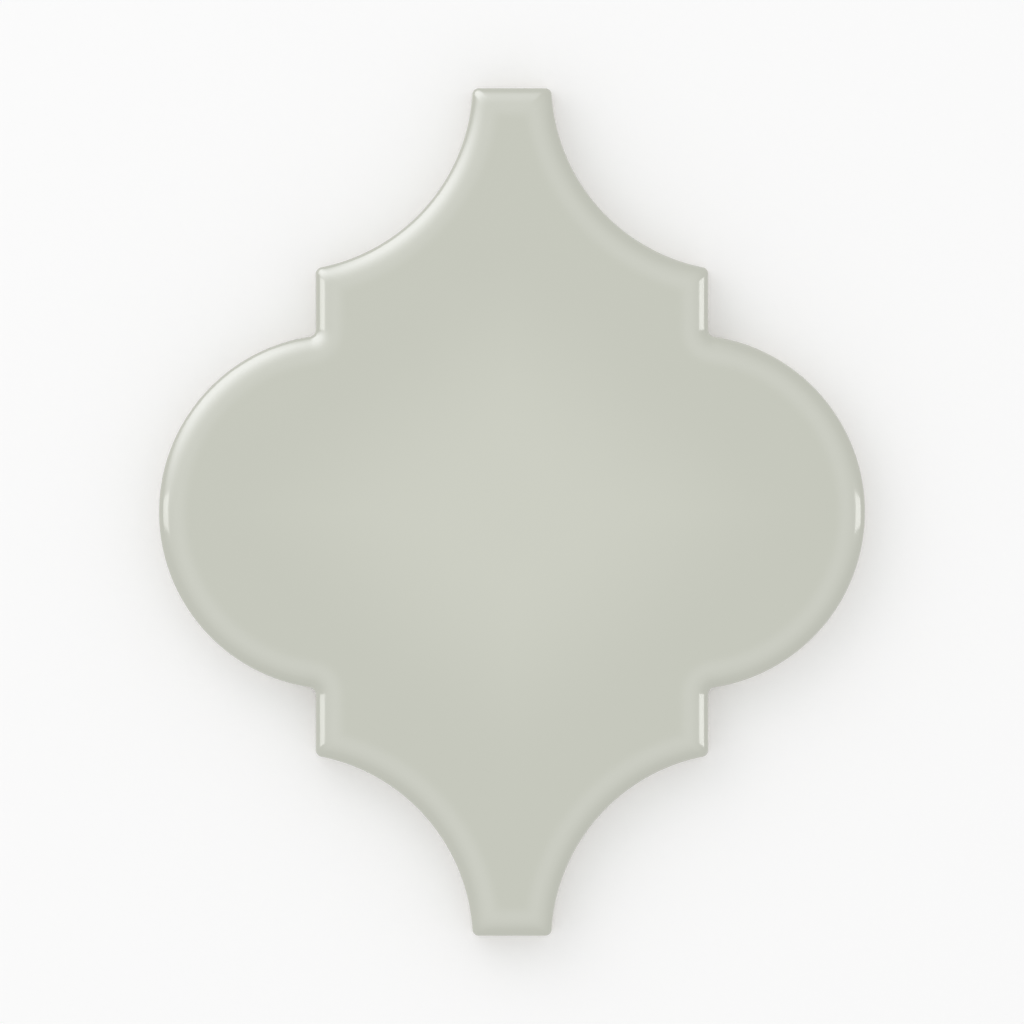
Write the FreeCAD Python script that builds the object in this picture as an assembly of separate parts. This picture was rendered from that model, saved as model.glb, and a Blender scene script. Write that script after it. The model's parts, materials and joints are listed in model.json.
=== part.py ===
# Arabesque wall tile: one pressed, glazed and fired piece with a lantern outline.
#
# The outline nests with copies of itself. Round lobes stand out left and right, hollow
# flanks above and below fit round the lobes of other copies, and a short straight shoulder
# joins each lobe to each flank. At its narrow ends the tile meets another copy end to end.
# Seen from the side the face rolls down to the edge in a soft cushion. The back is ribbed,
# so that adhesive keys into the slots between the ribs.
#
# Frame, in millimetres: origin at the middle of the back, +X across the lobes,
# +Y from end to end, +Z out of the glazed face.
import FreeCAD
import Part

import math
import os

# Plan of the tile at its widest level
TILE_WIDTH = 77.5  # from lobe tip to lobe tip
LOBE_RADIUS = 19.5  # round of each lobe
SHOULDER_LENGTH = 7.4  # straight edge between a lobe and a flank
END_WIDTH = 8.8  # straight end of the neck, between its sharp corners
NESTING_GAP = 1.0  # even gap between two nested copies
CORNER_RADIUS = 0.75  # round of every corner in plan

# Section of the tile
THICKNESS = 6.5  # from the back to the flat of the face
BACK_ARRIS = 0.4  # bevel round the edge of the back
SIDE_DRAFT = 0.1  # how far the side leans in on its way up, to leave the press
CUSHION_REACH = 3.5  # how far the rounded edge runs in over the face
CUSHION_DROP = 0.9  # how far it falls from the flat of the face

# Ribbed back
RIB_WIDTH = 3.0  # land between two keying slots
SLOT_WIDTH = 5.0  # keying slot across its length
SLOT_DEPTH = 0.6  # how deep a slot is pressed
RIM_WIDTH = 5.0  # least land between a slot and the side of the tile
SHORTEST_SLOT = 2 * SLOT_WIDTH  # a slot that would be shorter is left out

# Share of the straight end that the cushion may run in over from each side
CUSHION_SHARE = 0.42
# Share of the straight end of the face that one rounded corner may take up
CORNER_SHARE = 0.4
# Levels that carry the round of the cushion
CUSHION_LEVELS = 7

# Nested copies repeat on this pitch, with another copy at half of both pitches.
PITCH_X = TILE_WIDTH + END_WIDTH + 2 * NESTING_GAP
LOBE_X = TILE_WIDTH / 2 - LOBE_RADIUS
SHOULDER_X = (PITCH_X / 2 - NESTING_GAP) / 2
FLANK_X = PITCH_X / 2 - LOBE_X
FLANK_RADIUS = LOBE_RADIUS + NESTING_GAP
SHOULDER_LOW = math.sqrt(LOBE_RADIUS**2 - (SHOULDER_X - LOBE_X) ** 2)
SHOULDER_HIGH = SHOULDER_LOW + SHOULDER_LENGTH
FLANK_Y = SHOULDER_HIGH + math.sqrt(FLANK_RADIUS**2 - (FLANK_X - SHOULDER_X) ** 2)
TILE_HEIGHT = 2 * FLANK_Y - NESTING_GAP

# The rounded edge can't take up more than its share of the neck it runs round.
CUSHION_RUN = min(CUSHION_REACH, CUSHION_SHARE * END_WIDTH - SIDE_DRAFT)


def towards(start, target, distance):
    """The point at a distance from start on the way to target."""
    return start + (target - start).normalize() * distance


def arc(centre, radius, start, end):
    """The shorter arc about centre from start to end."""
    middle = towards(centre, (start + end) * 0.5, radius)
    return Part.Arc(start, middle, end).toShape()


def mirrored(edges, axis):
    """Copies of the edges on the other side of the plane across an axis."""
    return [edge.mirror(FreeCAD.Vector(0, 0, 0), axis) for edge in edges]


def outline(inset, level):
    """The closed outline at a level, moved in from the widest outline by inset.

    Lobes shrink and flanks grow about their own centres, so the gap to a nested copy stays
    even. Every corner is rounded.
    """
    point = FreeCAD.Vector
    lobe = point(LOBE_X, 0, level)
    lobe_radius = LOBE_RADIUS - inset
    flank = point(FLANK_X, FLANK_Y, level)
    flank_radius = FLANK_RADIUS + inset
    side = SHOULDER_X - inset
    end = TILE_HEIGHT / 2 - inset
    end_half = FLANK_X - math.sqrt(flank_radius**2 - (FLANK_Y - end) ** 2)
    corner = min(CORNER_RADIUS, CORNER_SHARE * 2 * end_half, CORNER_SHARE * SHOULDER_LENGTH)

    # Centres of the three rounded corners between the lobe and the end
    inner_y = math.sqrt((lobe_radius + corner) ** 2 - (side + corner - LOBE_X) ** 2)
    inner = point(side + corner, inner_y, level)
    outer_y = FLANK_Y - math.sqrt((flank_radius + corner) ** 2 - (FLANK_X - side + corner) ** 2)
    outer = point(side - corner, outer_y, level)
    tip_x = FLANK_X - math.sqrt((flank_radius + corner) ** 2 - (FLANK_Y - end + corner) ** 2)
    tip = point(tip_x, end - corner, level)

    # Where the straight and round stretches meet, from the lobe up to the end
    lobe_stop = towards(lobe, inner, lobe_radius)
    shoulder_start = point(side, inner_y, level)
    shoulder_stop = point(side, outer_y, level)
    flank_start = towards(flank, outer, flank_radius)
    flank_stop = towards(flank, tip, flank_radius)
    end_start = point(tip_x, end, level)

    quarter = [
        arc(inner, corner, lobe_stop, shoulder_start),
        Part.makeLine(shoulder_start, shoulder_stop),
        arc(outer, corner, shoulder_stop, flank_start),
        arc(flank, flank_radius, flank_start, flank_stop),
        arc(tip, corner, flank_stop, end_start),
    ]
    across, along = point(1, 0, 0), point(0, 1, 0)
    lobe_tip = point(LOBE_X + lobe_radius, 0, level)
    lobe_below = point(lobe_stop.x, -lobe_stop.y, level)
    lobe_arc = [Part.Arc(lobe_below, lobe_tip, lobe_stop).toShape()]
    end_line = [Part.makeLine(end_start, point(-tip_x, end, level))]
    right_half = lobe_arc + quarter + mirrored(quarter, along)
    ends = end_line + mirrored(end_line, along)
    edges = right_half + mirrored(right_half, across) + ends
    return Part.Wire(Part.__sortEdges__(edges))


def half_width(y):
    """Half the tile's width at a distance y from the middle, corners taken as sharp."""
    y = abs(y)
    if y <= SHOULDER_LOW:
        return LOBE_X + math.sqrt(LOBE_RADIUS**2 - y**2)
    if y <= SHOULDER_HIGH:
        return SHOULDER_X
    return FLANK_X - math.sqrt(FLANK_RADIUS**2 - (FLANK_Y - y) ** 2)


def tile_body():
    """The tile with a plain back: bevelled foot, leaning side and rounded face."""
    spring = THICKNESS - CUSHION_DROP
    foot = outline(BACK_ARRIS, 0)
    widest = outline(0, BACK_ARRIS)
    shoulder = outline(SIDE_DRAFT, spring)
    side = Part.makeLoft([foot, widest, shoulder], True, True)
    levels = [shoulder]
    for step in range(1, CUSHION_LEVELS):
        turn = math.pi / 2 * step / (CUSHION_LEVELS - 1)
        inset = SIDE_DRAFT + CUSHION_RUN * (1 - math.cos(turn))
        levels.append(outline(inset, spring + CUSHION_DROP * math.sin(turn)))
    cushion = Part.makeLoft(levels, True, False)
    return side.fuse(cushion).removeSplitter()


def keying_slot(middle_y):
    """One slot of the back with round ends, or None where the tile is too narrow for it."""
    radius = SLOT_WIDTH / 2
    narrowest = min(half_width(middle_y - radius), half_width(middle_y + radius))
    half_length = narrowest - RIM_WIDTH
    if 2 * half_length < SHORTEST_SLOT:
        return None
    point = FreeCAD.Vector
    reach = half_length - radius
    top, bottom = middle_y + radius, middle_y - radius
    right_end = Part.Arc(point(reach, bottom, 0), point(half_length, middle_y, 0), point(reach, top, 0))
    left_end = Part.Arc(point(-reach, top, 0), point(-half_length, middle_y, 0), point(-reach, bottom, 0))
    edges = [
        right_end.toShape(),
        Part.makeLine(point(reach, top, 0), point(-reach, top, 0)),
        left_end.toShape(),
        Part.makeLine(point(-reach, bottom, 0), point(reach, bottom, 0)),
    ]
    return Part.Face(Part.Wire(edges)).extrude(point(0, 0, SLOT_DEPTH))


def keying_slots():
    """All slots of the back, spaced evenly either side of a slot across the middle."""
    pitch = SLOT_WIDTH + RIB_WIDTH
    furthest = int((TILE_HEIGHT / 2 - RIM_WIDTH) // pitch)
    slots = [keying_slot(pitch * place) for place in range(-furthest, furthest + 1)]
    return [slot for slot in slots if slot]


def arabesque_tile():
    """The whole tile."""
    return tile_body().cut(Part.makeCompound(keying_slots()))


tile = arabesque_tile()
os.makedirs("parts", exist_ok=True)
tile.exportStep("parts/arabesque_tile.step")
print(f"tile {TILE_WIDTH:.2f} x {TILE_HEIGHT:.2f} x {THICKNESS:.2f} mm, {len(tile.Solids)} solid,")
print(f"{tile.Volume / 1000:.2f} cm3, valid {tile.isValid()}")
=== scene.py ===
"""Arabesque wall tile, dressed as a pressed, glazed and fired piece in a plain studio.

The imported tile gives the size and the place. It is modelled again here with a finer rounded
edge, a round foot and keying slots with draft, and it gets its glaze and its bare fired body.
Everything is in metres, with +X across the lobes, +Y from end to end and +Z out of the face.
"""

import json
import logging
import math
from collections.abc import Callable, Iterator
from contextlib import contextmanager
from dataclasses import dataclass, field, replace
from enum import Enum
from typing import Any

import bmesh
import bpy
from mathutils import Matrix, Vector

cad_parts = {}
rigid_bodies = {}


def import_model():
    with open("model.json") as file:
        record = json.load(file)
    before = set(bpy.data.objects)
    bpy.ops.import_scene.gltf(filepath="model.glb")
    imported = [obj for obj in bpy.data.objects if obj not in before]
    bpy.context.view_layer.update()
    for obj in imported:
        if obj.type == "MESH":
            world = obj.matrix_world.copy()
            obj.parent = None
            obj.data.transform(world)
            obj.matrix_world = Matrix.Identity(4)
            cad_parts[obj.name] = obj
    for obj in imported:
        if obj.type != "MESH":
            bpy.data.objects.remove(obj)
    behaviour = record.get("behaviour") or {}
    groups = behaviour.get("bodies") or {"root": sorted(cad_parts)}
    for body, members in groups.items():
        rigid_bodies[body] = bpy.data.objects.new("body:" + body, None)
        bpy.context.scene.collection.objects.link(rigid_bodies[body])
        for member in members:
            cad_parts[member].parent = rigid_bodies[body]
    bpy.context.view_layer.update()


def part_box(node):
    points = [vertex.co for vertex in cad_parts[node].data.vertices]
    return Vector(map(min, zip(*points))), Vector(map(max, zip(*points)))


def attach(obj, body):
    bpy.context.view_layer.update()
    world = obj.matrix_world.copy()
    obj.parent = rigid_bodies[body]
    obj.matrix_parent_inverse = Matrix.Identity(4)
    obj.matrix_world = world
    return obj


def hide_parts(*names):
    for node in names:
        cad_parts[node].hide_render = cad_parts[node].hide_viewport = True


LOG = logging.getLogger("arabesque_tile")

Colour = tuple[float, float, float]

BLACK: Colour = (0.0, 0.0, 0.0)
WHITE: Colour = (1.0, 1.0, 1.0)

MM = 0.001  # one millimetre, in metres
MERGE_REACH = 0.001 * MM  # vertices that lie closer than this become one
LEVEL_REACH = 0.0005 * MM  # how far from a height a vertex may lie and still count as at it
SEED_SIZE = 0.1 * MM  # side of the square that closes up to one vertex
QUARTER_TURN = math.pi / 2
ANTICLOCKWISE = (0.0, 0.0, -1.0)  # axis of an anticlockwise turn by the spin operator
PICTURE_FILL = 0.83  # share of the picture's height that the tile takes up


class Stretch(Enum):
    """Stretches of the tile's outline, with the number of steps that each is drawn in."""

    LOBE = 64
    CORNER = 10
    SHOULDER = 6
    FLANK = 56
    END = 5


class MathStep(Enum):
    """Steps of shader maths that are used on values."""

    ADD = "ADD"
    SUBTRACT = "SUBTRACT"
    MULTIPLY = "MULTIPLY"
    DIVIDE = "DIVIDE"
    POWER = "POWER"
    ABSOLUTE = "ABSOLUTE"
    SQUARE_ROOT = "SQRT"


class LampShape(Enum):
    """Shapes of a soft lamp's front."""

    BOX = "RECTANGLE"
    OVAL = "ELLIPSE"


def leg(slant: float, other: float) -> float:
    """The second leg of a right-angled triangle."""
    return math.sqrt(slant**2 - other**2)


def bearing(start: Vector, target: Vector) -> float:
    """The direction from start to target in plan, anticlockwise from +X."""
    return math.atan2(target.y - start.y, target.x - start.x)


def new_piece(name: str) -> bpy.types.Object:
    """Makes an empty mesh object at the origin.

    Args:
        name: Name of the object and of its mesh.

    Returns:
        The object, linked to the scene.
    """
    piece = bpy.data.objects.new(name, bpy.data.meshes.new(name))
    bpy.context.collection.objects.link(piece)
    return piece


@contextmanager
def at_hand(piece: bpy.types.Object) -> Iterator[None]:
    """Makes one piece active and the only one selected.

    Args:
        piece: The piece that operators act on.
    """
    bpy.ops.object.select_all(action="DESELECT")
    bpy.context.view_layer.objects.active = piece
    piece.select_set(True)
    yield
    piece.select_set(False)


@contextmanager
def editing(piece: bpy.types.Object) -> Iterator[None]:
    """Holds one piece open in edit mode.

    Args:
        piece: The piece that is edited.
    """
    with at_hand(piece):
        bpy.ops.object.mode_set(mode="EDIT")
        yield
        bpy.ops.object.mode_set(mode="OBJECT")


def choose(piece: bpy.types.Object, wanted: Callable[[Vector], bool]) -> None:
    """Selects the vertices of a piece by their place, and what lies between them.

    Args:
        piece: A piece that is open in edit mode.
        wanted: Says of a vertex's place whether the vertex is selected.
    """
    mesh = bmesh.from_edit_mesh(piece.data)
    for vertex in mesh.verts:
        vertex.select_set(wanted(vertex.co))
    mesh.select_flush_mode()
    bmesh.update_edit_mesh(piece.data)


def seed(place: Vector) -> None:
    """Adds one vertex at a place of the open mesh, by closing up a small square.

    Args:
        place: Where the vertex goes. It is then all that is selected.
    """
    bpy.ops.mesh.primitive_plane_add(size=SEED_SIZE, location=place)
    bpy.ops.mesh.merge(type="CENTER")


@dataclass(frozen=True)
class Bend:
    """A round stretch of a line that is being drawn.

    Attributes:
        centre: Centre of the round.
        sweep: Angle that it turns through, anticlockwise.
        stretch: Stretch of the outline that it is.
    """

    centre: Vector
    sweep: float
    stretch: Stretch

    def draw(self) -> None:
        """Spins the selected vertex round the bend."""
        steps = self.stretch.value
        bpy.ops.mesh.spin(steps=steps, angle=self.sweep, center=self.centre, axis=ANTICLOCKWISE)


@dataclass(frozen=True)
class Straight:
    """A straight stretch of a line that is being drawn.

    Attributes:
        travel: The way from its start to its end.
        stretch: Stretch of the outline that it is.
    """

    travel: Vector
    stretch: Stretch

    def draw(self) -> None:
        """Extrudes the selected vertex along the stretch."""
        step = self.travel / self.stretch.value
        for _ in range(self.stretch.value):
            bpy.ops.mesh.extrude_region_move(TRANSFORM_OT_translate={"value": step})


@dataclass(frozen=True)
class Outline:
    """The lantern outline of the tile, which nests with copies of itself.

    Attributes:
        width: From lobe tip to lobe tip.
        height: From end to end.
        lobe_radius: Round of each lobe.
        end_width: Straight end of the neck, between its sharp corners.
        nesting_gap: Even gap between two nested copies.
        corner_radius: Round of every corner. Over the rounded edge the hollow corners get
            rounder still, and the others keep it.
    """

    width: float
    height: float
    lobe_radius: float = 19.5 * MM
    end_width: float = 8.8 * MM
    nesting_gap: float = 1.0 * MM
    corner_radius: float = 0.75 * MM

    @property
    def half_pitch(self) -> float:
        """Half the distance at which nested copies repeat across."""
        return (self.width + self.end_width) / 2 + self.nesting_gap

    @property
    def lobe(self) -> Vector:
        """Centre of the right lobe."""
        return Vector((self.width / 2 - self.lobe_radius, 0, 0))

    @property
    def flank(self) -> Vector:
        """Centre of the upper right flank."""
        return Vector((self.half_pitch - self.lobe.x, (self.height + self.nesting_gap) / 2, 0))

    @property
    def flank_radius(self) -> float:
        """Round of each hollow flank."""
        return self.lobe_radius + self.nesting_gap

    @property
    def shoulder_x(self) -> float:
        """Distance of the straight shoulders from the middle line."""
        return (self.half_pitch - self.nesting_gap) / 2

    def half_width(self, y: float) -> float:
        """Half the width at a distance from the middle, corners taken as sharp.

        Args:
            y: Distance from the middle line across the lobes.

        Returns:
            The distance from the middle line along the tile to its side.
        """
        shoulder_low = leg(self.lobe_radius, self.shoulder_x - self.lobe.x)
        shoulder_high = self.flank.y - leg(self.flank_radius, self.flank.x - self.shoulder_x)
        if abs(y) <= shoulder_low:
            return self.lobe.x + leg(self.lobe_radius, y)
        if abs(y) <= shoulder_high:
            return self.shoulder_x
        return self.flank.x - leg(self.flank_radius, self.flank.y - abs(y))

    def draw_quarter(self, inset: float, level: float) -> None:
        """Draws the outline in the open mesh from the right lobe's tip to the upper end.

        Args:
            inset: How far the line lies in from the widest outline.
            level: Height of the line above the back.
        """
        rise = Vector((0, 0, level))
        corner = self.corner_radius
        hollow = corner + inset
        lobe, flank = self.lobe + rise, self.flank + rise
        lobe_radius = self.lobe_radius - inset
        flank_radius = self.flank_radius + inset

        inner_x = self.shoulder_x - inset + hollow
        inner = Vector((inner_x, leg(lobe_radius + hollow, inner_x - lobe.x), level))
        outer_x = self.shoulder_x - inset - corner
        outer = Vector((outer_x, flank.y - leg(flank_radius + corner, flank.x - outer_x), level))
        tip_y = self.height / 2 - inset - corner
        tip = Vector((flank.x - leg(flank_radius + corner, flank.y - tip_y), tip_y, level))

        lobe_turn = bearing(lobe, inner)
        outer_turn = bearing(outer, flank)
        tip_turn = bearing(tip, flank)
        seed(lobe + Vector((lobe_radius, 0, 0)))
        for stretch in (
            Bend(lobe, lobe_turn, Stretch.LOBE),
            Bend(inner, -lobe_turn, Stretch.CORNER),
            Straight(Vector((0, outer.y - inner.y, 0)), Stretch.SHOULDER),
            Bend(outer, outer_turn, Stretch.CORNER),
            Bend(flank, tip_turn - outer_turn, Stretch.FLANK),
            Bend(tip, QUARTER_TURN - tip_turn, Stretch.CORNER),
            Straight(Vector((-tip.x, 0, 0)), Stretch.END),
        ):
            stretch.draw()


@dataclass(frozen=True)
class Level:
    """One ring round the tile.

    Attributes:
        inset: How far the ring lies in from the widest outline.
        height: Height of the ring above the back.
    """

    inset: float
    height: float


@dataclass(frozen=True)
class KeyingSlots:
    """The slots of the ribbed back, into which adhesive keys.

    Attributes:
        width: A slot across its length, at the back.
        rib_width: Land between two slots.
        depth: How deep a slot is pressed.
        rim_width: Least land between a slot and the side of the tile.
        draft: How far a slot's wall leans in on its way to the floor.
        floor_round: Round between a slot's wall and its floor.
        rim_round: Round between a slot's wall and the back.
        clearance: How far the cutter stands out of the back.
        end_steps: Steps in the round end of a slot.
    """

    width: float = 5.0 * MM
    rib_width: float = 3.0 * MM
    depth: float = 0.6 * MM
    rim_width: float = 5.0 * MM
    draft: float = 0.15 * MM
    floor_round: float = 0.15 * MM
    rim_round: float = 0.12 * MM
    clearance: float = 0.5 * MM
    end_steps: int = 20

    def lengths(self, outline: Outline) -> dict[float, float]:
        """Where the slots lie, and how long they are.

        A slot that would be shorter than twice its width is left out.

        Args:
            outline: Outline of the tile that they are pressed into.

        Returns:
            Half the length of each slot, by the place of its middle line.
        """
        pitch = self.width + self.rib_width
        radius = self.width / 2
        furthest = int((outline.height / 2 - self.rim_width) // pitch)
        found = {}
        for place in range(-furthest, furthest + 1):
            middle = place * pitch
            narrowest = min(outline.half_width(middle - radius), outline.half_width(middle + radius))
            half_length = narrowest - self.rim_width
            if half_length >= self.width:
                found[middle] = half_length
        return found

    def section(self) -> list[tuple[float, float]]:
        """Half of a slot's section, from its floor round to its middle line below the back.

        Returns:
            Distances from the middle line, each with its height above the back.
        """
        wall = self.width / 2
        floor = wall - self.draft
        return [
            (0, self.depth),
            (floor - self.floor_round, self.depth),
            (floor, self.depth - self.floor_round),
            (wall, self.rim_round),
            (wall + self.rim_round, 0),
            (wall + self.rim_round, -self.clearance),
            (0, -self.clearance),
        ]

    def draw_one(self, middle: float, half_length: float) -> None:
        """Sweeps the section round one slot in the open mesh.

        Args:
            middle: Place of the slot's middle line.
            half_length: Half the slot's length.
        """
        reach = half_length - self.width / 2
        places = [Vector((reach, middle - away, height)) for away, height in self.section()]
        seed(places[0])
        for start, end in zip(places, places[1:]):
            bpy.ops.mesh.extrude_region_move(TRANSFORM_OT_translate={"value": end - start})
        bpy.ops.mesh.select_linked()
        for side in (1, -1):
            centre = (side * reach, middle, 0)
            bpy.ops.mesh.spin(steps=self.end_steps, angle=math.pi, center=centre, axis=ANTICLOCKWISE)
            run = (-2 * side * reach, 0, 0)
            bpy.ops.mesh.extrude_region_move(TRANSFORM_OT_translate={"value": run})

    def press(self, piece: bpy.types.Object, outline: Outline) -> None:
        """Cuts all slots into the back of a tile.

        Args:
            piece: The tile, closed all round.
            outline: Outline of the tile.
        """
        cutter = new_piece("slot_cutter")
        with editing(cutter):
            for middle, half_length in self.lengths(outline).items():
                self.draw_one(middle, half_length)
            bpy.ops.mesh.select_all(action="SELECT")
            bpy.ops.mesh.remove_doubles(threshold=MERGE_REACH)
            bpy.ops.mesh.normals_make_consistent(inside=False)
        pressing = piece.modifiers.new("pressing", "BOOLEAN")
        pressing.operation = "DIFFERENCE"
        pressing.solver = "EXACT"
        pressing.object = cutter
        with at_hand(piece):
            bpy.ops.object.modifier_apply(modifier=pressing.name)
        bpy.data.meshes.remove(cutter.data)


@dataclass
class Wire:
    """One output of a shader node, which takes part in shader maths.

    Attributes:
        graph: The graph that the node is in.
        socket: The output itself.
    """

    graph: "ShaderGraph"
    socket: bpy.types.NodeSocket

    def __add__(self, other: "Feed") -> "Wire":
        """This value plus another."""
        return self.graph.maths(MathStep.ADD, self, other)

    def __radd__(self, other: "Feed") -> "Wire":
        """Another value plus this one."""
        return self.graph.maths(MathStep.ADD, other, self)

    def __sub__(self, other: "Feed") -> "Wire":
        """This value less another."""
        return self.graph.maths(MathStep.SUBTRACT, self, other)

    def __rsub__(self, other: "Feed") -> "Wire":
        """Another value less this one."""
        return self.graph.maths(MathStep.SUBTRACT, other, self)

    def __mul__(self, other: "Feed") -> "Wire":
        """This value times another."""
        return self.graph.maths(MathStep.MULTIPLY, self, other)

    def __rmul__(self, other: "Feed") -> "Wire":
        """Another value times this one."""
        return self.graph.maths(MathStep.MULTIPLY, other, self)

    def __truediv__(self, other: "Feed") -> "Wire":
        """This value divided by another."""
        return self.graph.maths(MathStep.DIVIDE, self, other)

    def __pow__(self, other: "Feed") -> "Wire":
        """This value raised to a power."""
        return self.graph.maths(MathStep.POWER, self, other)

    def __abs__(self) -> "Wire":
        """The size of this value, without its sign."""
        return self.graph.maths(MathStep.ABSOLUTE, self)

    def root(self) -> "Wire":
        """The square root of this value."""
        return self.graph.maths(MathStep.SQUARE_ROOT, self)

    def rising(self, low: float, high: float, smooth: bool = True) -> "Wire":
        """A step from 0 to 1.

        Args:
            low: Where the step starts.
            high: Where it ends.
            smooth: Whether it starts and ends gently.

        Returns:
            0 where this value is under low, 1 where it is over high.
        """
        settings = {"interpolation_type": "SMOOTHSTEP" if smooth else "LINEAR"}
        inputs = {"Value": self, "From Min": low, "From Max": high}
        return self.graph.node("ShaderNodeMapRange", settings, inputs, "Result")


Feed = Wire | float | Colour


class ShaderGraph:
    """The nodes of one material or lamp, from its texture coordinates to its surface."""

    def __init__(self, owner: bpy.types.Material | bpy.types.Light) -> None:
        """Empties the node tree of a material or lamp.

        Args:
            owner: The material or lamp that the nodes belong to.
        """
        owner.use_nodes = True
        self.tree = owner.node_tree
        self.tree.nodes.clear()

    def node(
        self,
        kind: str,
        settings: dict[str, Any] | None = None,
        inputs: dict[str, Feed] | None = None,
        output: str = "",
    ) -> Wire:
        """Adds one node.

        Args:
            kind: Type of the node.
            settings: Values of the node's own settings, which are set first.
            inputs: Values or links of its sockets, by identifier or name.
            output: Name of the output that is wanted. The first if it is left out.

        Returns:
            That output.
        """
        node = self.tree.nodes.new(kind)
        for name, value in (settings or {}).items():
            setattr(node, name, value)
        sockets = {socket.name: socket for socket in reversed(node.inputs)}
        sockets |= {socket.identifier: socket for socket in node.inputs}
        for name, value in (inputs or {}).items():
            self.feed(sockets[name], value)
        outputs = {socket.name: socket for socket in reversed(node.outputs)}
        outputs |= {socket.identifier: socket for socket in node.outputs}
        first = node.outputs[0] if node.outputs else None
        return Wire(self, outputs.get(output, first))

    def feed(self, socket: bpy.types.NodeSocket, value: Feed) -> None:
        """Links a value to a socket, or sets it there.

        Args:
            socket: An input of a node.
            value: An output, a number, or a colour or vector.
        """
        if isinstance(value, Wire):
            self.tree.links.new(value.socket, socket)
        elif isinstance(value, tuple) and len(socket.default_value) > len(value):
            socket.default_value = (*value, 1.0)
        else:
            socket.default_value = value

    def maths(self, step: MathStep, *values: Feed) -> Wire:
        """One step of maths on values.

        Args:
            step: The step.
            values: What it works on, in order.

        Returns:
            Its result.
        """
        node = self.node("ShaderNodeMath", {"operation": step.value})
        for socket, value in zip(node.socket.node.inputs, values):
            self.feed(socket, value)
        return node

    def blend(self, share: Feed, first: Feed, second: Feed) -> Wire:
        """A colour between two colours.

        Args:
            share: 0 for the first colour, 1 for the second.
            first: A colour.
            second: Another colour.

        Returns:
            The colour that they make.
        """
        settings = {"data_type": "RGBA", "clamp_factor": True}
        inputs = {"Factor_Float": share, "A_Color": first, "B_Color": second}
        return self.node("ShaderNodeMix", settings, inputs, "Result_Color")

    def noise(self, place: Wire, grain: float, detail: float = 2.0) -> Wire:
        """Soft noise about 0, between about -0.5 and 0.5.

        Args:
            place: Coordinates in metres.
            grain: Size of the noise's patches in metres.
            detail: Number of finer layers in it.

        Returns:
            The noise's value.
        """
        inputs = {"Vector": place, "Scale": 1 / grain, "Detail": detail}
        return self.node("ShaderNodeTexNoise", {}, inputs, "Fac") - 0.5

    def split(self, place: Wire) -> list[Wire]:
        """The three axes of a vector.

        Args:
            place: The vector.

        Returns:
            Its x, y and z.
        """
        axes = self.node("ShaderNodeSeparateXYZ", {}, {"Vector": place}).socket.node.outputs
        return [Wire(self, axis) for axis in axes]

    def close(self, shader: Wire, output: str = "ShaderNodeOutputMaterial") -> None:
        """Ends the graph in a shader.

        Args:
            shader: The surface's shader.
            output: Type of the node that the graph ends in.
        """
        self.node(output, {}, {"Surface": shader})


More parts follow.
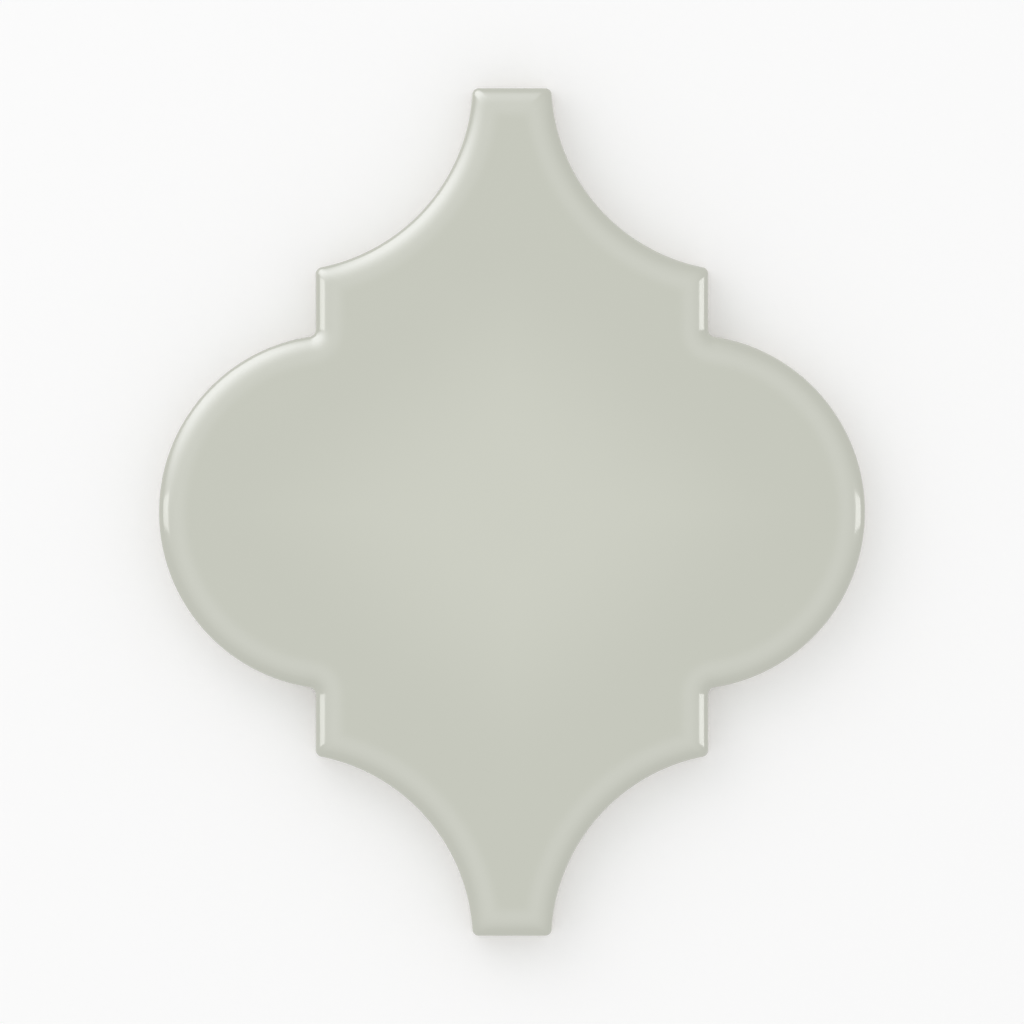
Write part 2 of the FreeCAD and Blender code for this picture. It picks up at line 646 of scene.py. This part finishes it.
@dataclass(frozen=True)
class GlazeFinish:
    """Sage glaze fired over a pale body that is bare along the foot and on the back.

    Attributes:
        field: Colour of the glaze over most of the face.
        painted_glow: Paler colour in the middle of the face, where the glaze lies thickest.
        edge: Deeper colour where the glaze runs thin over the rounded edge.
        body: Colour of the bare fired body.
        speck: Colour of the fine specks in the bare body.
        speck_fade: Values of the bare body's grain between which the specks come up.
        heart_half_width: Half the width of the paler middle.
        heart_half_height: Half the height of the paler middle.
        heart_power: How round the paler middle is: 1 is a diamond, 2 an oval.
        heart_fade: Where the paler middle starts to fade, and where it is gone.
        painted_shade_fade: Shares of the rounded edge's run where the painted shade goes.
        shine_fade: Shares of the rounded edge's run where its higher gloss goes.
        cloud: How much the glaze's tone varies.
        cloud_grain: Size of the patches of that tone.
        run_line: Height above the back at which the glaze ends on the side.
        run_wander: How far the end of the glaze wanders up and down.
        run_grain: Size of those wanders along the side.
        run_edge: Height over which the glaze ends.
        gloss: Roughness of the glaze on the face.
        shine: Roughness of the glossier glaze over the rounded edge and the side.
        dullness: Roughness of the bare body.
        index: Index of refraction of the glaze on the face.
        shine_index: Index of refraction of the glossier glaze.
        ripple: Height of the slight waves in the glaze.
        ripple_grain: Size of those waves.
        ripple_detail: Number of finer layers in them.
        grit: Height of the bare body's grain.
        grit_grain: Size of that grain.
        grit_detail: Number of finer layers in it.
    """

    field: Colour = (0.590, 0.604, 0.528)
    painted_glow: Colour = (0.637, 0.651, 0.571)
    edge: Colour = (0.530, 0.543, 0.468)
    body: Colour = (0.74, 0.71, 0.64)
    speck: Colour = (0.62, 0.58, 0.50)
    speck_fade: tuple[float, float] = (0.05, 0.3)
    heart_half_width: float = 20.9 * MM
    heart_half_height: float = 18.9 * MM
    heart_power: float = 1.1
    heart_fade: tuple[float, float] = (0.3, 1.7)
    painted_shade_fade: tuple[float, float] = (0.1, 0.6)
    shine_fade: tuple[float, float] = (0.6, 1.0)
    cloud: float = 0.012
    cloud_grain: float = 9 * MM
    run_line: float = 1.3 * MM
    run_wander: float = 0.9 * MM
    run_grain: float = 7 * MM
    run_edge: float = 0.12 * MM
    gloss: float = 0.2
    shine: float = 0.06
    dullness: float = 0.82
    index: float = 1.45
    shine_index: float = 1.8
    ripple: float = 0.004 * MM
    ripple_grain: float = 4 * MM
    ripple_detail: float = 1.0
    grit: float = 0.03 * MM
    grit_grain: float = 0.25 * MM
    grit_detail: float = 4.0

    def material(self, spring: float, drop: float) -> bpy.types.Material:
        """Makes the finish for a tile whose face rolls down to its edge.

        Args:
            spring: Height at which the rounded edge starts.
            drop: How far it rises from there to the flat of the face.

        Returns:
            The finished material.
        """
        material = bpy.data.materials.new("sage_glaze")
        graph = ShaderGraph(material)
        place = graph.node("ShaderNodeTexCoord", output="Object")
        x, y, z = graph.split(place)

        wander = graph.noise(place, self.run_grain) * self.run_wander
        glazed = (z + wander).rising(self.run_line - self.run_edge, self.run_line + self.run_edge)

        # Painted highlight: a paler patch in the middle of the face, in place of a soft reflection
        # there.
        across = abs(x / self.heart_half_width) ** self.heart_power
        along = abs(y / self.heart_half_height) ** self.heart_power
        painted_glow = 1 - (across + along).rising(*self.heart_fade)

        climb = z.rising(spring, spring + drop, smooth=False)
        run = 1 - (1 - climb * climb).root()
        # Painted shade: a deeper colour over the rounded edge, in place of the shading of its roll.
        edge = 1 - run.rising(*self.painted_shade_fade)

        # The painted highlight in the middle and the painted shade over the rounded edge are mixed
        # into the glaze's colour.
        tone = graph.blend(painted_glow, self.field, self.painted_glow)
        tone = graph.blend(edge, tone, self.edge)
        cloud = 1 + graph.noise(place, self.cloud_grain) * self.cloud
        tone = graph.node(
            "ShaderNodeVectorMath", {"operation": "SCALE"}, {"Vector": tone, "Scale": cloud}
        )
        grain = graph.noise(place, self.grit_grain, self.grit_detail)
        body = graph.blend(grain.rising(*self.speck_fade), self.body, self.speck)

        height = glazed * graph.noise(place, self.ripple_grain, self.ripple_detail) * self.ripple
        height = height + (1 - glazed) * grain * self.grit
        normal = graph.node("ShaderNodeBump", {}, {"Height": height, "Distance": 1.0, "Strength": 1.0})

        shader = graph.node(
            "ShaderNodeBsdfPrincipled",
            {},
            {
                "Base Color": graph.blend(glazed, body, tone),
                "Roughness": self.dullness + glazed * (self.gloss - self.dullness),
                "IOR": self.index,
                "Coat Weight": glazed * (1 - run.rising(*self.shine_fade)),
                "Coat Roughness": self.shine,
                "Coat IOR": self.shine_index,
                "Normal": normal,
            },
        )
        graph.close(shader)
        return material


@dataclass(frozen=True)
class FloorFinish:
    """Plain pale floor that looks white to the eye and in reflections.

    Attributes:
        tone: Colour of the floor.
        lift: What is added to it where it is seen, and not where it only lights the tile.
        dullness: Roughness of the floor.
        sheen: Strength of its faint gloss.
    """

    tone: Colour = (0.93, 0.93, 0.93)
    lift: Colour = (0.09, 0.09, 0.09)
    dullness: float = 0.9
    sheen: float = 0.1

    def material(self) -> bpy.types.Material:
        """Makes the finish.

        Returns:
            The finished material.
        """
        material = bpy.data.materials.new("pale_floor")
        graph = ShaderGraph(material)
        rays = graph.node("ShaderNodeLightPath").socket.node.outputs
        eye, gloss, glass = (
            Wire(graph, rays[f"Is {kind} Ray"]) for kind in ("Camera", "Glossy", "Transmission")
        )
        inputs = {
            "Base Color": self.tone,
            "Roughness": self.dullness,
            "Specular IOR Level": self.sheen,
            "Emission Color": graph.blend(eye + gloss + glass, BLACK, self.lift),
            "Emission Strength": 1.0,
        }
        graph.close(graph.node("ShaderNodeBsdfPrincipled", {}, inputs))
        return material


@dataclass
class ArabesqueTile:
    """The tile: a rounded foot, a leaning side, a cushioned face and a ribbed back.

    Attributes:
        outline: The tile's widest outline.
        thickness: From the back to the flat of the face.
        foot_radius: Round of the edge of the back.
        side_draft: How far the side leans in on its way up.
        cushion_reach: How far the rounded edge runs in over the face.
        cushion_drop: How far it falls from the flat of the face.
        face_margin: Flat strip between the rounded edge and the grid of the face.
        face_grid: Size of the squares that the flat of the face is cut into.
        foot_steps: Steps in the round of the foot.
        cushion_steps: Steps in the round of the face's edge.
        crease: Angle above which an edge stays sharp.
        slots: The slots of the back.
        finish: What the tile is dressed in.
    """

    outline: Outline
    thickness: float
    foot_radius: float = 0.4 * MM
    side_draft: float = 0.1 * MM
    cushion_reach: float = 3.5 * MM
    cushion_drop: float = 0.9 * MM
    face_margin: float = 0.3 * MM
    face_grid: float = 6.0 * MM
    foot_steps: int = 4
    cushion_steps: int = 18
    crease: float = math.radians(40)
    slots: KeyingSlots = field(default_factory=KeyingSlots)
    finish: GlazeFinish = field(default_factory=GlazeFinish)

    @property
    def spring(self) -> float:
        """Height at which the rounded edge of the face starts."""
        return self.thickness - self.cushion_drop

    def levels(self) -> list[Level]:
        """Works out the rings that carry the tile's section.

        Returns:
            The rings, from the foot up to the face.
        """
        rings = []
        for step in range(self.foot_steps + 1):
            turn = QUARTER_TURN * step / self.foot_steps
            inset = self.foot_radius * (1 - math.sin(turn))
            rings.append(Level(inset, self.foot_radius * (1 - math.cos(turn))))
        for step in range(self.cushion_steps + 1):
            turn = QUARTER_TURN * step / self.cushion_steps
            inset = self.side_draft + self.cushion_reach * (1 - math.cos(turn))
            rings.append(Level(inset, self.spring + self.cushion_drop * math.sin(turn)))
        return rings

    def draw_rings(self, rings: list[Level]) -> None:
        """Draws all rings in the open mesh, a quarter at first and then mirrored twice.

        Args:
            rings: The rings, from the foot up.
        """
        for ring in rings:
            self.outline.draw_quarter(ring.inset, ring.height)
        for mirror in ((-1, 1, 1), (1, -1, 1)):
            bpy.ops.mesh.select_all(action="SELECT")
            bpy.ops.mesh.duplicate()
            bpy.ops.transform.resize(value=mirror, center_override=(0, 0, 0))
        bpy.ops.mesh.select_all(action="SELECT")
        bpy.ops.mesh.remove_doubles(threshold=MERGE_REACH)

    def skin(self, piece: bpy.types.Object, rings: list[Level]) -> None:
        """Bridges each ring to the next, and closes the back and the face.

        Args:
            piece: The tile, open in edit mode.
            rings: The rings that have been drawn, from the foot up.
        """
        for low, high in zip(rings, rings[1:]):
            choose(piece, self.at_heights(low.height, high.height))
            bpy.ops.mesh.bridge_edge_loops()
        for ring in (rings[0], rings[-1]):
            choose(piece, self.at_heights(ring.height))
            bpy.ops.mesh.edge_face_add()

    @staticmethod
    def at_heights(*heights: float) -> Callable[[Vector], bool]:
        """A test of whether a vertex lies at one of some heights."""
        return lambda place: any(abs(place.z - height) < LEVEL_REACH for height in heights)

    def grid_face(self, piece: bpy.types.Object) -> None:
        """Cuts the flat of the face into squares, inside a plain margin.

        Args:
            piece: The tile, open in edit mode.
        """
        choose(piece, self.at_heights(self.thickness))
        bpy.ops.mesh.inset(thickness=self.face_margin)
        bpy.ops.mesh.hide(unselected=True)
        sizes = ((self.outline.width, (1, 0, 0)), (self.outline.height, (0, 1, 0)))
        for size, across in sizes:
            cuts = int(size / 2 / self.face_grid)
            for cut in range(-cuts, cuts):
                place = Vector(across) * (cut + 0.5) * self.face_grid
                bpy.ops.mesh.select_all(action="SELECT")
                bpy.ops.mesh.bisect(plane_co=place, plane_no=across)
        bpy.ops.mesh.reveal(select=False)

    def clean_flats(self, piece: bpy.types.Object) -> None:
        """Merges doubled corners, and lays even triangles over the back and the flat of the face.

        Args:
            piece: The tile, open in edit mode.
        """
        bpy.ops.mesh.select_all(action="SELECT")
        bpy.ops.mesh.remove_doubles(threshold=MERGE_REACH)
        choose(piece, self.at_heights(0, self.thickness))
        bpy.ops.mesh.quads_convert_to_tris(quad_method="BEAUTY", ngon_method="BEAUTY")

    def build(self) -> bpy.types.Object:
        """Models the tile.

        Returns:
            The tile, at the origin, with its place in its mesh.
        """
        piece = new_piece("glazed_tile")
        rings = self.levels()
        with editing(piece):
            self.draw_rings(rings)
            self.skin(piece, rings)
            self.grid_face(piece)
            bpy.ops.mesh.select_all(action="SELECT")
            bpy.ops.mesh.normals_make_consistent(inside=False)
        self.slots.press(piece, self.outline)
        with editing(piece):
            self.clean_flats(piece)
        with at_hand(piece):
            bpy.ops.object.shade_smooth_by_angle(angle=self.crease)
        return piece

    def dress(self, piece: bpy.types.Object) -> None:
        """Gives the tile its finish and its place in the frame.

        Args:
            piece: The modelled tile.
        """
        piece.data.materials.append(self.finish.material(self.spring, self.cushion_drop))
        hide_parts("arabesque_tile")
        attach(piece, "root")


@dataclass(frozen=True)
class SoftLamp:
    """A soft lamp that hangs round the tile and faces it.

    Attributes:
        name: Name of the lamp.
        azimuth: Direction that it hangs in, in degrees anticlockwise from +X.
        tilt: Angle between straight up and the lamp, in degrees.
        width: Size of its front along the horizon.
        length: Size of its front up and down.
        radiance: Brightness of its front.
        core: Share of its half width, or of an oval's radius, that is at full brightness. The
            front fades from there to its edge.
        span: Stretch of its length that is at full brightness, counted from -1 at its lower
            edge to 1 at its upper edge. An oval has none.
        shape: Shape of its front.
        shine_only: Whether it is only seen in the gloss of the glaze, and lights nothing else.
        reach: Distance from the tile.
        lean: How far its front turns from the tile towards the floor, in degrees.
        tint: Colour of its light.
    """

    name: str
    azimuth: float
    tilt: float
    width: float
    length: float
    radiance: float
    core: float
    span: tuple[float, float] = (-0.6, 0.6)
    shape: LampShape = LampShape.BOX
    shine_only: bool = False
    reach: float = 1.2
    lean: float = 0.0
    tint: Colour = WHITE

    def direction(self, tilt: float) -> Vector:
        """The direction at a tilt, on the side where the lamp hangs.

        Args:
            tilt: Angle from straight up, in degrees.

        Returns:
            The direction, with a length of 1.
        """
        around, down = math.radians(self.azimuth), math.radians(tilt)
        outward = math.sin(down)
        return Vector((math.cos(around) * outward, math.sin(around) * outward, math.cos(down)))

    @property
    def area(self) -> float:
        """Area of the lamp's front."""
        filling = math.pi / 4 if self.shape is LampShape.OVAL else 1.0
        return self.width * self.length * filling

    def hang(self) -> None:
        """Adds the lamp to the scene."""
        bpy.ops.object.light_add(type="AREA", location=self.direction(self.tilt) * self.reach)
        lamp = bpy.context.object
        lamp.name = self.name
        lamp.rotation_mode = "QUATERNION"
        lamp.rotation_quaternion = self.direction(self.tilt - self.lean).to_track_quat("Z", "Y")
        lamp.data.shape = self.shape.value
        lamp.data.size = self.width
        lamp.data.size_y = self.length
        lamp.data.energy = self.radiance * math.pi * self.area
        lamp.data.color = self.tint
        lamp.visible_camera = False
        lamp.visible_diffuse = not self.shine_only
        self.fade(lamp.data)
        LOG.info("%s: %.2f W", lamp.name, lamp.data.energy)

    def fade(self, light: bpy.types.Light) -> None:
        """Lets the lamp's front fade from its core to its edge.

        Args:
            light: The lamp's light.
        """
        graph = ShaderGraph(light)
        x, y, _ = graph.split(graph.node("ShaderNodeTexCoord", output="Object"))
        across, up = x / (self.width / 2), y / (self.length / 2)
        if self.shape is LampShape.OVAL:
            bright = 1 - (across * across + up * up).root().rising(self.core, 1.0)
        else:
            low, high = self.span
            bright = up.rising(-1.0, low) * (1 - up.rising(high, 1.0))
            bright = bright * (1 - abs(across).rising(self.core, 1.0))
        glow = graph.node("ShaderNodeEmission", {}, {"Color": bright, "Strength": 1.0})
        graph.close(glow, "ShaderNodeOutputLight")


# Strip that glints along the left lobe and the shoulders. The right one mirrors it.
LEFT_SHINE = SoftLamp(
    "left_shine",
    azimuth=180,
    tilt=40.5,
    width=0.25,
    length=0.75,
    radiance=1.95,
    core=0.8,
    shine_only=True,
    reach=1.8,
)
LAMPS = (
    SoftLamp(
        "top_lamp",
        azimuth=0,
        tilt=0,
        width=1.85,
        length=1.85,
        radiance=0.15,
        core=0.62,
        shape=LampShape.OVAL,
    ),
    SoftLamp(
        "key_lamp",
        azimuth=130,
        tilt=56.6,
        width=1.75,
        length=1.68,
        radiance=0.5,
        core=0.23,
        span=(0.1, 0.4),
        lean=25.6,
    ),
    SoftLamp(
        "key_shine",
        azimuth=130,
        tilt=41.8,
        width=1.58,
        length=1.2,
        radiance=2.25,
        core=0.18,
        span=(-0.72, 0.08),
        shine_only=True,
        lean=7.8,
        tint=(0.97, 0.965, 1.04),
    ),
    LEFT_SHINE,
    replace(LEFT_SHINE, name="right_shine", azimuth=0, radiance=2.6),
)


@dataclass
class Studio:
    """Plain floor, soft light and a camera straight above the tile.

    Attributes:
        target_height: Height of the tile's face above the floor.
        frame_height: Height of what the picture shows, at the tile's face.
        floor_size: Length of the floor's sides.
        floor_gap: How far the floor lies under the back, so that the two don't flicker.
        fill: Brightness of the even light from all round.
        lens: Focal length of the camera in millimetres.
        sensor: Width of the camera's sensor in millimetres.
        floor_finish: What the floor is dressed in.
        lamps: The soft lamps.
    """

    target_height: float
    frame_height: float
    floor_size: float = 8.0
    floor_gap: float = 0.02 * MM
    fill: float = 0.83
    lens: float = 600.0
    sensor: float = 36.0
    floor_finish: FloorFinish = field(default_factory=FloorFinish)
    lamps: tuple[SoftLamp, ...] = LAMPS

    def lay_floor(self) -> None:
        """Lays the floor under the tile."""
        bpy.ops.object.select_all(action="DESELECT")
        bpy.ops.mesh.primitive_plane_add(size=self.floor_size, location=(0, 0, -self.floor_gap))
        floor = bpy.context.object
        floor.name = "floor"
        floor.data.materials.append(self.floor_finish.material())

    def light(self) -> None:
        """Hangs the lamps and fills the room with even light."""
        for lamp in self.lamps:
            lamp.hang()
        world = bpy.data.worlds.new("even_light")
        world.use_nodes = True
        background = world.node_tree.nodes["Background"].inputs
        background["Color"].default_value = (*WHITE, 1.0)
        background["Strength"].default_value = self.fill
        bpy.context.scene.world = world

    def aim(self) -> None:
        """Sets the camera straight above the tile, with +Y up in a picture of plain colours."""
        distance = self.frame_height * self.lens / self.sensor
        bpy.ops.object.camera_add(location=(0, 0, self.target_height + distance), rotation=(0, 0, 0))
        camera = bpy.context.object
        camera.name = "camera"
        camera.data.lens = self.lens
        camera.data.sensor_width = self.sensor
        bpy.context.scene.camera = camera
        bpy.context.scene.view_settings.view_transform = "Standard"


def main() -> None:
    """Builds the tile and the studio round it."""
    logging.basicConfig(level=logging.INFO, format="%(name)s: %(message)s")
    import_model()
    low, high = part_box("arabesque_tile")
    size = high - low

    tile = ArabesqueTile(Outline(size.x, size.y), size.z)
    piece = tile.build()
    tile.dress(piece)
    LOG.info("%s: %d faces", piece.name, len(piece.data.polygons))

    studio = Studio(size.z, size.y / PICTURE_FILL)
    studio.lay_floor()
    studio.light()
    studio.aim()


if __name__ == "__main__":
    main()
